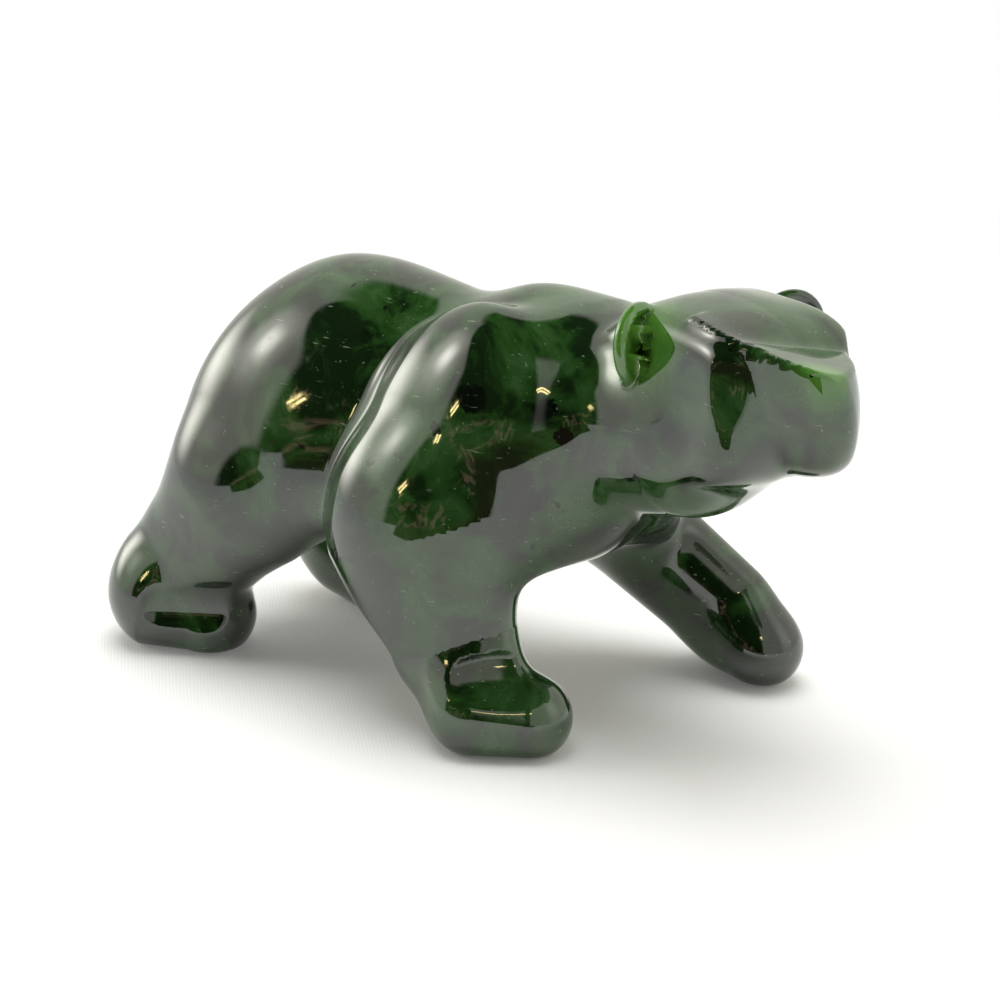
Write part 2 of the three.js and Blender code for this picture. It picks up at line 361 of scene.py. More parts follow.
@dataclass(frozen=True)
class BearHead:
    """The head in its own frame: skull, cheeks, hollows below the brows, muzzle, ears."""

    at: Point = (37.6, -1.0, 50.9)
    turn: float = -17
    far_cheek: float = 1.14
    skull: Mass = Mass("skull", (0, 0, 0), (13.0, 12.0, 11.9), (0, 0, 0), 2.3)
    forehead: Mass = Mass("forehead", (2, -2.5, 0), (10.8, 7.5, 10.7), (-9, 0, 0), 3)
    cheek: Mass = Mass("cheek", (0.5, -4, 0.5), (13.5, 11.0, 10.9), (0, 0, 0), 3.2)
    cheek_side: Facet = Facet((8, -12.2, 0), -3, 3)
    cheek_top: Facet = Facet((6, -10.4, 10.6), 2, 42)
    eye_hollow: Mass = Mass("eye_hollow", (16.7, -16.7, 6.4), (8.4, 8.3, 11.0))
    brow_notch: Limb = Limb("brow_notch", (11.8, -6.5, 12.4), (11.0, 0.5, 11.6), 1.1, 0.9)
    muzzle: Muzzle = Muzzle()
    near_ear: Mass = Mass("near_ear", (-5.0, -11.2, 6.4), (1.9, 5.2, 5.8), (20, 0, 30))
    far_ear: Mass = Mass("far_ear", (-2.9, 12.4, 5.2), (2.0, 5.0, 5.4), (-20, 0, -25))
    ear_hollow: Point = (1.7, 4.4, 4.8)
    ear_hollow_forward: float = 1.5
    rough_cheek: Point = (12.5, 7.0, 10.2)
    cheek_edges: tuple[float, float] = (2, 1.5)
    skull_fillet: float = 1.5
    cheek_fillet: float = 2
    neck_fillet: float = 3
    muzzle_fillet: float = 0.8
    hollow_edge: float = 0.6
    notch_edge: float = 0.4
    ear_rim: float = 0.4
    ear_fillet: float = 0.6

    def local(self, p: np.ndarray) -> np.ndarray:
        """Takes points of the table frame into the head's own frame."""
        return (p - np.array(self.at)) @ turn_matrix((self.turn, 0, 0))

    def joined(self, d: np.ndarray, h: np.ndarray) -> np.ndarray:
        """Adds skull, cheeks and muzzle to the trunk.

        Args:
            d: distance of the trunk.
            h: the points in the head's frame.

        Returns:
            Distances, negative inside.
        """
        near = h.copy()
        near[:, 1] = np.where(h[:, 1] > 0, -self.far_cheek * h[:, 1], h[:, 1])
        side_edge, top_edge = self.cheek_edges
        cheek = soft_share(self.cheek.distance(near), self.cheek_side.distance(near), side_edge)
        cheek = soft_share(cheek, self.cheek_top.distance(near), top_edge)
        skull = soft_join(self.skull.distance(near), self.forehead.distance(h), self.skull_fillet)
        skull = soft_join(skull, cheek, self.cheek_fillet)
        skull = soft_cut(skull, self.eye_hollow.distance(near), self.hollow_edge)
        d = soft_join(d, skull, self.neck_fillet)
        d = soft_join(d, self.muzzle.distance(h), self.muzzle_fillet)
        return soft_cut(d, self.brow_notch.distance(h), self.notch_edge)

    def eared(self, d: np.ndarray, h: np.ndarray) -> np.ndarray:
        """Adds the ears, each a plate with a hollow in its front.

        Args:
            d: distance of the bear without ears.
            h: the points in the head's frame.

        Returns:
            Distances, negative inside.
        """
        for plate in (self.near_ear, self.far_ear):
            forward = turn_matrix(plate.turn)[:, 0] * self.ear_hollow_forward
            hollow = Mass("hollow", tuple(plate.at + forward), self.ear_hollow, plate.turn)
            ear = soft_cut(plate.distance(h), hollow.distance(h), self.ear_rim)
            d = soft_join(d, ear, self.ear_fillet)
        return d

    def block_out(self) -> bpy.types.Object:
        """Builds the rough head from plain balls.

        Returns:
            The head, in the table frame.
        """
        masses = (self.skull, self.forehead, self.muzzle.core, self.near_ear, self.far_ear)
        balls = [mass.block_out() for mass in masses]
        for side in Side:
            at = (self.cheek.at[0], -side.value * self.cheek.at[1], self.cheek.at[2])
            balls.append(add_ball("cheek", at, self.rough_cheek))
        head = fuse(balls, "head")
        turn = Matrix(turn_matrix((self.turn, 0, 0)).tolist()).to_4x4()
        head.matrix_world = Matrix.Translation(Vector(self.at) * MM) @ turn
        bpy.ops.object.transform_apply(location=True, rotation=True, scale=True)
        return head


@dataclass(frozen=True)
class FleckOrPaintedGlow:
    """A round spot of colour: a black fleck of the stone's own, or a patch of painted glow standing
    in for light; where it shows and how far it spreads, mm.
    """

    at: Point
    reach: float
    strength: float = 1.0


@dataclass(frozen=True)
class StoneFinish:
    """Polished nephrite: deep mottled green with pale clouds and black flecks, and painted glow:
    bright green patches at the ears and the nose that stand in for light in the stone.
    """

    deep: Point = (0.0050, 0.014, 0.0040)
    middle: Point = (0.013, 0.044, 0.008)
    cloud: Point = (0.032, 0.080, 0.024)
    black: Point = (0.0025, 0.0045, 0.0025)
    # Colour of the painted glow at the ears and the nose, standing in for light in the stone.
    painted_glow_color: Point = (0.075, 0.220, 0.026)
    dust: Point = (0.22, 0.26, 0.20)
    gloss: float = 0.045
    haze: float = 0.14
    scratch_scale: Point = (260, 1400, 2600)
    wear: float = 0.5
    index: float = 1.85
    # Painted glow: bright green spots at the ears and the nose, in place of light shining in the
    # stone.
    painted_glow_spots: tuple[FleckOrPaintedGlow, ...] = (
        FleckOrPaintedGlow((30.0, -15.2, 58.5), 10.0, 0.95),
        FleckOrPaintedGlow((57.2, -13.9, 58.2), 6.0, 0.8),
        FleckOrPaintedGlow((33.0, 10.0, 57.5), 6.0, 0.5),
    )
    black_spots: tuple[FleckOrPaintedGlow, ...] = (
        FleckOrPaintedGlow((9.8, -22.0, 49.3), 2.3),
        FleckOrPaintedGlow((17.2, -21.0, 38.6), 2.0),
        FleckOrPaintedGlow((16.6, -20.5, 35.6), 2.6),
        FleckOrPaintedGlow((19.5, -18.8, 48.3), 1.8),
        FleckOrPaintedGlow((21.5, -17.6, 44.6), 1.5),
        FleckOrPaintedGlow((30.7, -16.3, 41.8), 2.2, 0.8),
        FleckOrPaintedGlow((5.0, -22.8, 44.0), 1.2, 0.8),
        FleckOrPaintedGlow((-14.0, -15.0, 52.0), 1.2, 0.7),
    )

    def make(self) -> bpy.types.Material:
        """Builds the stone's node material.

        Returns:
            The material.
        """
        material = bpy.data.materials.new("polished_green_stone")
        material.use_nodes = True
        tree = material.node_tree
        maths = NodeMaths(tree)
        shader = tree.nodes["Principled BSDF"]
        shader.inputs["IOR"].default_value = self.index
        place = tree.nodes.new("ShaderNodeTexCoord").outputs["Object"]
        mottle = maths.noise(place, 95, 7, 0.62, 0.9)
        broad = maths.noise(place, 28, 3, 0.5, 1.4)
        fine = maths.math("MULTIPLY", mottle, 1.3)
        tone = maths.math("ADD", fine, maths.math("MULTIPLY", broad, 0.6))
        color = maths.ramp(tone, [(0.84, self.deep), (0.95, self.middle), (1.16, self.cloud)])
        veins = maths.rise(maths.noise(place, 60, 5, 0.7, 3.0), 0.60, 0.72)
        color = maths.blend(maths.math("MULTIPLY", veins, 0.5), color, self.cloud)
        # Painted glow: these bright green spots at the ears and the nose stand in for light in the
        # stone, not its own colour.
        for spot in self.painted_glow_spots:
            color = maths.blend(self.spot(maths, place, spot, 0.2, 0.9), color, self.painted_glow_color)
        flecks = maths.rise(maths.noise(place, 330, 2, 0.5, 0.4), 0.70, 0.75)
        color = maths.blend(flecks, color, self.black)
        for spot in self.black_spots:
            color = maths.blend(self.spot(maths, place, spot, 0.9, 0.12), color, self.black)
        specks = maths.rise(maths.noise(place, 1500, 1, 0.5, 0.0), 0.74, 0.80)
        scratches = maths.rise(maths.noise(self.grain(tree, place), 1, 2, 0.5, 0.3), 0.70, 0.76)
        worn = maths.math("MULTIPLY", maths.math("MAXIMUM", specks, scratches), self.wear)
        color = maths.blend(worn, color, self.dust)
        tree.links.new(color, shader.inputs["Base Color"])
        dust = maths.noise(place, 700, 3, 0.6, 0.0)
        rough = maths.math("MULTIPLY", maths.rise(dust, 0.5, 0.8), self.haze)
        tree.links.new(maths.math("ADD", rough, self.gloss), shader.inputs["Roughness"])
        wave = tree.nodes.new("ShaderNodeBump")
        wave.inputs["Strength"].default_value = 0.10
        wave.inputs["Distance"].default_value = 0.0006
        tree.links.new(maths.noise(place, 70, 2, 0.45, 0.3), wave.inputs["Height"])
        tree.links.new(wave.outputs["Normal"], shader.inputs["Normal"])
        return material

    def grain(
        self, tree: bpy.types.NodeTree, place: bpy.types.NodeSocket
    ) -> bpy.types.NodeSocket:
        """Stretches the coordinates along the bear, for fine scratches.

        Args:
            tree: the material's nodes.
            place: object coordinates.

        Returns:
            The stretched coordinates.
        """
        node = tree.nodes.new("ShaderNodeVectorMath")
        node.operation = "MULTIPLY"
        tree.links.new(place, node.inputs[0])
        node.inputs[1].default_value = self.scratch_scale
        return node.outputs["Vector"]

    def spot(
        self,
        maths: "NodeMaths",
        place: bpy.types.NodeSocket,
        spot: FleckOrPaintedGlow,
        rag: float,
        soft: float,
    ) -> bpy.types.NodeSocket:
        """Writes the mask of a soft spot with a ragged rim.

        Args:
            maths: the helper of the material's tree.
            place: object coordinates.
            spot: the spot.
            rag: how ragged its rim is.
            soft: how wide its rim is, as a share of the spot.

        Returns:
            The mask, 1 inside.
        """
        away = maths.distance(place, tuple(v * MM for v in spot.at))
        ragged = maths.math("MULTIPLY", maths.noise(place, 420, 4, 0.7, 0.8), rag * 2)
        reach = maths.math("MULTIPLY", away, 1 / (spot.reach * MM))
        level = maths.math("ADD", reach, maths.math("SUBTRACT", ragged, rag))
        mask = maths.rise(level, 1.0, 1.0 - soft)
        return maths.math("MULTIPLY", mask, spot.strength)


@dataclass
class BearCarving:
    """The carved bear. Sizes are millimetres in the table frame of the carving."""

    unit: float = 118.3 / 118.1
    centre: Point = (-0.06, 2.7, 0)
    belly_height: float = 20.7
    belly_rise: float = 0.08
    voxel: float = 0.53
    sole_edge: float = 0.9
    finish: StoneFinish = field(default_factory=StoneFinish)

    rump: Mass = Mass("rump", (-27.2, 0, 27.4), (24.9, 19.8, 32.2), (0, 14.3, 0))
    barrel: Mass = Mass("barrel", (-9.6, 0, 30.1), (28.1, 16.8, 27.0))
    chest: Mass = Mass("chest", (7.1, 0, 34.1), (16.7, 17.0, 25.5))
    neck: Limb = Limb("neck", (18.3, 0.4, 44.3), (32.7, -1.8, 45.6), 14.2, 12.4)
    head: BearHead = BearHead()
    far_shoulder: Mass = Mass("far_shoulder", (6.8, 11.3, 35.3), (16.1, 9.0, 18.7), (0.7, 7.4, 21))
    far_forearm: Limb = Limb(
        "far_forearm", (4.4, 18.5, 23.5), (23.2, 23.2, 9.4), 9.0, 8.0, (1, 0.66, 1)
    )
    far_paw: Limb = Limb("far_paw", (21.4, 26.0, 6.9), (29.7, 23.2, 5.2), 5.3, 5.8)
    near_thigh: Mass = Mass(
        "near_thigh", (-31.2, -10.1, 34.6), (15.1, 8.7, 19.5), (-1.2, 23.2, -17.9)
    )
    near_shank: Limb = Limb(
        "near_shank", (-36.6, -13.9, 24.6), (-48.6, -15, 10.6), 11.3, 9.2, (1, 0.75, 1)
    )
    near_foot: Limb = Limb("near_foot", (-49.8, -15.8, 7.4), (-43.0, -14.2, 5.0), 9.2, 6.7)
    far_thigh: Mass = Mass("far_thigh", (-28.4, 10.1, 33.7), (14.9, 9.5, 20.6), (0.2, 18.4, 15.8))
    far_shank: Limb = Limb("far_shank", (-34, 13, 22), (-40, 12.3, 11.8), 9.5, 8.8, (1, 0.81, 1))
    far_foot: Limb = Limb("far_foot", (-38.8, 13.9, 6.6), (-30.4, 11.6, 5.2), 6.6, 6.0)
    near_shoulder: Mass = Mass(
        "near_shoulder", (-0.8, -12.3, 36.3), (15.3, 9.1, 24.3), (-18.5, 24.3, -13.1)
    )
    near_forearm: Limb = Limb(
        "near_forearm",
        (-1.2, -17.3, 27.8),
        (4.6, -16.6, 13.2),
        13.9,
        10.3,
        (1, 0.61, 1),
        (0, 0, -5),
    )
    near_paw: Limb = Limb("near_paw", (10.5, -19.4, 5.5), (17, -15.9, 4.8), 6.6, 5.8)
    near_paw_slope: Mass = Mass(
        "near_paw_slope", (16.4, -21.2, 10.9), (8.5, 5.0, 2.0), (36.87, 0, 38)
    )
    near_foot_slope: Limb = Limb("near_foot_slope", (-42.2, -27.0, 8.0), (-33.3, -21.8, 8.0), 6, 6)
    rump_fillet: float = 6
    chest_fillet: float = 5
    belly_edge: float = 10
    neck_fillet: float = 6
    shoulder_fillet: float = 5
    thigh_fillet: float = 6
    shank_fillet: float = 5
    far_paw_fillet: float = 4
    foot_fillet: float = 3
    crease_width: float = 1.5
    crease_opening: float = 8
    crease_ends: tuple[float, float] = (4, 18)
    paw_slope_edge: float = 0.5
    foot_slope_edge: float = 0.4
    rough_voxel: float = 1.0
    probe: float = 0.03
    longest_move: float = 1.5

    def trunk_distance(self, p: np.ndarray) -> np.ndarray:
        """Gives the distance from trunk and neck.

        Args:
            p: points in the table frame.

        Returns:
            Distances, negative inside.
        """
        d = soft_join(self.rump.distance(p), self.barrel.distance(p), self.rump_fillet)
        d = soft_join(d, self.chest.distance(p), self.chest_fillet)
        belly = p[:, 2] - (self.belly_height + self.belly_rise * np.abs(p[:, 0] + 2))
        d = soft_cut(d, belly, self.belly_edge)
        return soft_join(d, self.neck.distance(p), self.neck_fillet)

    def legs_distance(self, d: np.ndarray, p: np.ndarray) -> np.ndarray:
        """Adds the four legs, the near shoulder last, with a crisp crease behind it.

        Args:
            d: distance of what is there so far.
            p: points in the table frame.

        Returns:
            Distances, negative inside.
        """
        d = soft_join(d, self.far_shoulder.distance(p), self.shoulder_fillet)
        paw = self.far_paw.distance(p)
        fore = soft_join(self.far_forearm.distance(p), paw, self.far_paw_fillet)
        d = soft_join(d, fore, self.shoulder_fillet)
        d = soft_join(d, self.near_thigh.distance(p), self.thigh_fillet)
        d = soft_join(d, self.near_shank.distance(p), self.shank_fillet)
        d = soft_join(d, self.near_foot.distance(p), self.foot_fillet)
        d = soft_join(d, self.far_thigh.distance(p), self.thigh_fillet)
        foot = self.far_foot.distance(p)
        hind = soft_join(self.far_shank.distance(p), foot, self.foot_fillet)
        d = soft_join(d, hind, self.shank_fillet)
        crease = self.crease_width + self.crease_opening * ease(p[:, 0], *self.crease_ends)
        shoulder = self.near_shoulder.distance(p)
        fore = soft_join(shoulder, self.near_forearm.distance(p), self.shoulder_fillet)
        fore = soft_join(fore, self.near_paw.distance(p), self.shoulder_fillet)
        d = soft_join(d, fore, crease)
        d = soft_cut(d, self.near_paw_slope.distance(p), self.paw_slope_edge)
        return soft_cut(d, self.near_foot_slope.distance(p), self.foot_slope_edge)

    def distance(self, world: np.ndarray) -> np.ndarray:
        """Gives the distance of points from the finished carving.

        Args:
            world: points in the part's frame, mm.

        Returns:
            Distances, negative inside.
        """
        p = world / self.unit + np.array(self.centre)
        h = self.head.local(p)
        d = self.head.joined(self.trunk_distance(p), h)
        d = self.head.eared(self.legs_distance(d, p), h)
        return soft_share(d, -p[:, 2], self.sole_edge) * self.unit

    def slope(self, world: np.ndarray) -> np.ndarray:
        """Gives the distance's gradient at points.

        Args:
            world: points in the part's frame, mm.

        Returns:
            One gradient a row.
        """
        corners = np.array([[1, 1, 1], [1, -1, -1], [-1, 1, -1], [-1, -1, 1]], float)
        total = np.zeros_like(world)
        for corner in corners:
            total += corner * self.distance(world + self.probe * corner)[:, None]
        return total / (4 * self.probe)

    def settle(self, skin: bpy.types.Object, passes: int) -> None:
        """Moves every point of a skin onto the form.

        Args:
            skin: the object to settle.
            passes: how many steps to take.
        """
        count = len(skin.data.vertices)
        points = np.empty(count * 3)
        skin.data.vertices.foreach_get("co", points)
        points = points.reshape(-1, 3) / MM
        for _ in range(passes):
            slope = self.slope(points)
            size = np.maximum((slope**2).sum(-1), 0.05)
            move = -0.9 * self.distance(points)[:, None] * slope / size[:, None]
            length = np.maximum(np.linalg.norm(move, axis=1, keepdims=True), 1e-9)
            points += move * np.minimum(1, self.longest_move / length)
        skin.data.vertices.foreach_set("co", (points * MM).ravel())
        skin.data.update()

    def reskin(self, skin: bpy.types.Object, voxel: float) -> None:
        """Gives a piece one even skin.

        Args:
            skin: the object.
            voxel: size of its faces, mm.
        """
        select_only([skin])
        fusing = skin.modifiers.new("skin", "REMESH")
        fusing.mode = "VOXEL"
        fusing.voxel_size = voxel * MM
        bpy.ops.object.modifier_apply(modifier="skin")

    def block_out(self) -> bpy.types.Object:
        """Builds the rough bear from plain masses and fuses them.

        Returns:
            The rough bear, in the part's frame.
        """
        trunk = [mass.block_out() for mass in (self.rump, self.barrel, self.chest)]
        parts = [slice_off(mass, self.belly_height) for mass in trunk]
        parts.append(self.head.block_out())
        legs = (
            self.neck,
            self.far_shoulder,
            self.far_forearm,
            self.far_paw,
            self.near_thigh,
            self.near_shank,
            self.near_foot,
            self.far_thigh,
            self.far_shank,
            self.far_foot,
            self.near_shoulder,
            self.near_forearm,
            self.near_paw,
        )
        parts += [part.block_out() for part in legs]
        rough = fuse(parts, "bear_carving")
        rough.matrix_world = Matrix.Diagonal((self.unit,) * 3).to_4x4() @ Matrix.Translation(
            -Vector(self.centre) * MM
        )
        bpy.ops.object.transform_apply(location=True, rotation=True, scale=True)
        return rough

    def build(self) -> bpy.types.Object:
        """Builds the finished carving.

        Returns:
            The carving, dressed and riding on the frame.
        """
        carving = self.block_out()
        self.reskin(carving, self.rough_voxel)
        self.settle(carving, 8)
        slice_off(carving, 0)
        self.reskin(carving, self.voxel)
        self.settle(carving, 6)
        select_only([carving])
        bpy.ops.object.shade_smooth()
        self.polish(carving)
        self.dress(carving)
        return carving

    def polish(self, carving: bpy.types.Object) -> None:
        """Gives each point the form's own normal, so that reflections run clean.

        Args:
            carving: the carving.
        """
        points = np.empty(len(carving.data.vertices) * 3)
        carving.data.vertices.foreach_get("co", points)
        normals = self.slope(points.reshape(-1, 3) / MM)
        normals /= np.maximum(np.linalg.norm(normals, axis=1, keepdims=True), 1e-9)
        carving.data.normals_split_custom_set_from_vertices(normals.tolist())

    def dress(self, carving: bpy.types.Object) -> None:
        """Gives the carving its stone and hangs it on the frame.

        Args:
            carving: the carving.
        """
        carving.data.materials.clear()
        carving.data.materials.append(self.finish.make())
        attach(carving, "root")
        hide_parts("bear")


class NodeMaths:
    """Small helper that writes arithmetic into a node tree."""

    def __init__(self, tree: bpy.types.NodeTree) -> None:
        """Keeps the tree."""
        self.tree = tree

    def math(self, kind: str, *values: object) -> bpy.types.NodeSocket:
        """Adds a maths node.

        Args:
            kind: Blender's name for the operation.
            values: sockets or numbers that it works on.

        Returns:
            Its result.
        """
        node = self.tree.nodes.new("ShaderNodeMath")
        node.operation = kind
        for slot, value in zip(node.inputs, values):
            self.feed(slot, value)
        return node.outputs[0]

    def feed(self, slot: bpy.types.NodeSocket, value: object) -> None:
        """Links a socket, or sets a plain number."""
        if isinstance(value, bpy.types.NodeSocket):
            self.tree.links.new(value, slot)
        else:
            slot.default_value = value

    def noise(
        self, place: bpy.types.NodeSocket, scale: float, detail: float, rough: float, twist: float
    ) -> bpy.types.NodeSocket:
        """Adds a noise.

        Args:
            place: where it is read.
            scale: its scale, per metre.
            detail: number of finer layers.
            rough: strength of the finer layers.
            twist: distortion.

        Returns:
            The noise, 0 to 1.
        """
        node = self.tree.nodes.new("ShaderNodeTexNoise")
        node.inputs["Scale"].default_value = scale
        node.inputs["Detail"].default_value = detail
        node.inputs["Roughness"].default_value = rough
        node.inputs["Distortion"].default_value = twist
        self.tree.links.new(place, node.inputs["Vector"])
        return node.outputs["Fac"]

    def distance(self, place: bpy.types.NodeSocket, point: Point) -> bpy.types.NodeSocket:
        """Adds the distance of each place from a point.

        Args:
            place: where it is read.
            point: the point, in metres.

        Returns:
            The distance.
        """
        node = self.tree.nodes.new("ShaderNodeVectorMath")
        node.operation = "DISTANCE"
        self.tree.links.new(place, node.inputs[0])
        node.inputs[1].default_value = point
        return node.outputs["Value"]

    def ramp(
        self, value: bpy.types.NodeSocket, steps: list[tuple[float, Point]]
    ) -> bpy.types.NodeSocket:
        """Adds a colour ramp.

        Args:
            value: the socket to read.
            steps: positions and colours, in rising order.

        Returns:
            The colour.
        """
        node = self.tree.nodes.new("ShaderNodeValToRGB")
        elements = node.color_ramp.elements
        low, high = steps[0][0], steps[-1][0]
        scaled = self.tree.nodes.new("ShaderNodeMapRange")
        scaled.inputs["From Min"].default_value = low
        scaled.inputs["From Max"].default_value = high
        self.tree.links.new(value, scaled.inputs["Value"])
        self.tree.links.new(scaled.outputs["Result"], node.inputs["Fac"])
        elements[0].color = (*steps[0][1], 1)
        elements[1].color = (*steps[-1][1], 1)
        for position, color in steps[1:-1]:
            elements.new((position - low) / (high - low)).color = (*color, 1)
        return node.outputs["Color"]

    def blend(
        self, mask: bpy.types.NodeSocket, color: bpy.types.NodeSocket, over: Point
    ) -> bpy.types.NodeSocket:
        """Lays a plain colour over another one where the mask is 1.

        Args:
            mask: where the plain colour shows.
            color: what is there already.
            over: the plain colour.

        Returns:
            The new colour.
        """
        node = self.tree.nodes.new("ShaderNodeMix")
        node.data_type = "RGBA"
        self.tree.links.new(mask, node.inputs["Factor"])
        self.tree.links.new(color, node.inputs[6])
        node.inputs[7].default_value = (*over, 1)
        return node.outputs[2]

    def rise(self, value: object, start: float, end: float) -> bpy.types.NodeSocket:
        """Adds a smooth step from 0 at start to 1 at end.

        Args:
            value: the socket to read.
            start: where it starts.
            end: where it ends.

        Returns:
            The step.
        """
        node = self.tree.nodes.new("ShaderNodeMapRange")
        node.interpolation_type = "SMOOTHSTEP"
        self.feed(node.inputs["Value"], value)
        low, high = min(start, end), max(start, end)
        node.inputs["From Min"].default_value = low
        node.inputs["From Max"].default_value = high
        node.inputs["To Min"].default_value = 0.0 if start < end else 1.0
        node.inputs["To Max"].default_value = 1.0 if start < end else 0.0
        return node.outputs["Result"]

    def band(self, value: object, start: float, end: float, soft: float) -> bpy.types.NodeSocket:
        """Adds a window that is 1 between start and end.

        Args:
            value: the socket to read.
            start: lower edge.
            end: upper edge.
            soft: half width of each edge.

        Returns:
            The window.
        """
        up = self.rise(value, start - soft, start + soft)
        down = self.rise(value, end + soft, end - soft)
        return self.math("MULTIPLY", up, down)


@dataclass(frozen=True)
class Lamp:
    """A bright patch of the tent, in degrees seen from the bear towards the viewer."""

    azimuth: float
    azimuth_reach: float
    height: float
    height_reach: float
    power: float


@dataclass
class Studio:
    """Pale floor, white tent with a dark opening in front and overhead, camera."""

    view_azimuth: float = 37
    view_elevation: float = 19
    view_distance: float = 0.340
    view_target: Point = (0.00006, -0.0027, 0.028)
    lens: float = 87.3
    tent_radius: float = 0.8
    opening: tuple[float, float] = (-70, 0)
    ceiling: float = 60
    wall_light: float = 0.95
    wall_color: Point = (1.0, 0.985, 0.90)
    front_dip: float = 0.25
    cloth_reach: float = 0.135
    cloth_gap: tuple[float, float] = (-60, 12)
    lamps: tuple[Lamp, ...] = (
        Lamp(-98, 22, 31, 20, 2.6),
        Lamp(-95, 10, 31, 9, 4.6),
        Lamp(-124, 22, 12, 14, 4.6),
        Lamp(72, 24, 26, 34, 0.5),
    )
    tubes: tuple[tuple[float, float, float], ...] = ((-64, 19, 35), (1, 33, 60))
    tube_radius: float = 0.005
    tube_length: float = 0.045
    tube_gap: float = 0.0095
    tube_distance: float = 0.55
    tube_power: float = 16
    top_power: float = 3.4
    top_place: Point = (-0.03, 0.03, 0.55)
    front_span: tuple[float, float] = (-10, 52)
    front_soft: float = 8
    flare_heights: tuple[float, float] = (28, 62)
    flare_width: float = 34
    brown_span: tuple[float, float] = (-64, -22)
    brown_top: float = 13
    brown_light: float = 0.5
    ground_end: float = 0.9
    ground_lift: float = 0.0004
    # Where the floor's painted glow starts and where it reaches full strength, metres from the
    # bear.
    painted_floor_glow_reach: tuple[float, float] = (-0.03, 0.34)
    weave_scale: float = 900

    def build(self) -> list[bpy.types.Object]:
        """Builds floor, tent, lamps, world and camera.

        Returns:
            The stage objects.
        """
        things = [self.floor(), self.tent(), self.dark_front()]
        things += [self.tube_pair(i, *place) for i, place in enumerate(self.tubes)]
        self.top_light()
        self.world()
        self.camera()
        return things

    def direction(self, azimuth: float, height: float) -> Vector:
        """Gives a direction seen from the bear.

        Args:
            azimuth: degrees round from the viewer, to the viewer's right.
            height: degrees above the horizon.

        Returns:
            A unit vector.
        """
        turn = math.radians(self.view_azimuth + azimuth)
        up = math.radians(height)
        return Vector(
            (math.sin(turn) * math.cos(up), -math.cos(turn) * math.cos(up), math.sin(up))
        )

    def floor(self) -> bpy.types.Object:
        """Builds the pale cloth floor, with painted light: it glows more and more with distance
        from the bear, which lightens its cast shadows and whitens the far floor.

        Returns:
            The floor.
        """
        bpy.ops.object.select_all(action="DESELECT")
        bpy.ops.mesh.primitive_circle_add(
            vertices=96, radius=4, fill_type="NGON", location=(0, 0, 0)
        )
        floor = bpy.context.object
        floor.name = "floor"
        material = bpy.data.materials.new("white_cloth")
        material.use_nodes = True
        tree = material.node_tree
        maths = NodeMaths(tree)
        shader = tree.nodes["Principled BSDF"]
        shader.inputs["Base Color"].default_value = (0.86, 0.855, 0.845, 1)
        shader.inputs["Roughness"].default_value = 0.9
        shader.inputs["Specular IOR Level"].default_value = 0.2
        place = tree.nodes.new("ShaderNodeTexCoord")
        reach = tree.nodes.new("ShaderNodeVectorMath")
        reach.operation = "LENGTH"
        tree.links.new(place.outputs["Object"], reach.inputs[0])
        weave = tree.nodes.new("ShaderNodeTexWave")
        weave.bands_direction = "DIAGONAL"
        weave.inputs["Scale"].default_value = self.weave_scale
        weave.inputs["Distortion"].default_value = 0.6
        tree.links.new(place.outputs["Object"], weave.inputs["Vector"])
        bump = tree.nodes.new("ShaderNodeBump")
        bump.inputs["Strength"].default_value = 0.12
        bump.inputs["Distance"].default_value = 0.00012
        tree.links.new(weave.outputs["Fac"], bump.inputs["Height"])
        tree.links.new(bump.outputs["Normal"], shader.inputs["Normal"])
        # Painted light: the floor glows more with distance from the bear, lightening its shadows in
        # place of the tent's own light.
        glow = tree.nodes.new("ShaderNodeEmission")
        glow.inputs["Strength"].default_value = 1.0
        mix = tree.nodes.new("ShaderNodeMixShader")
        tree.links.new(maths.rise(reach.outputs["Value"], *self.painted_floor_glow_reach), mix.inputs["Fac"])
        tree.links.new(shader.outputs["BSDF"], mix.inputs[1])
        tree.links.new(glow.outputs["Emission"], mix.inputs[2])
        out = tree.nodes["Material Output"]
        tree.links.new(mix.outputs["Shader"], out.inputs["Surface"])
        floor.data.materials.append(material)
        return floor

    def glowing(self, name: str, color: Point, power: float) -> bpy.types.Material:
        """Makes a plain glowing material.

        Args:
            name: its name.
            color: its colour.
            power: its brightness.

        Returns:
            The material.
        """
        material = bpy.data.materials.new(name)
        material.use_nodes = True
        tree = material.node_tree
        tree.nodes.remove(tree.nodes["Principled BSDF"])
        glow = tree.nodes.new("ShaderNodeEmission")
        glow.inputs["Color"].default_value = (*color, 1)
        glow.inputs["Strength"].default_value = power
        tree.links.new(glow.outputs["Emission"], tree.nodes["Material Output"].inputs["Surface"])
        return material

    def dark_front(self) -> bpy.types.Object:
        """Builds the dark ground past the cloth's edge, seen only in reflections.

        Returns:
            The ground.
        """
        bpy.ops.object.select_all(action="DESELECT")
        bpy.ops.mesh.primitive_plane_add(size=1, location=(0, 0, 0))
        ground = bpy.context.object
        ground.name = "dark_front"
        for corner in ground.data.vertices:
            azimuth = self.cloth_gap[0 if corner.co.x < 0 else 1]
            reach = self.cloth_reach if corner.co.y > 0 else self.ground_end
            along = self.direction(azimuth, 0) / math.cos(math.radians(azimuth))
            corner.co = along * reach + Vector((0, 0, self.ground_lift))
        ground.visible_camera = False
        ground.visible_diffuse = False
        ground.visible_shadow = False
        ground.data.materials.append(self.glowing("dark_ground", (0.9, 0.5, 0.3), 0.05))
        return ground

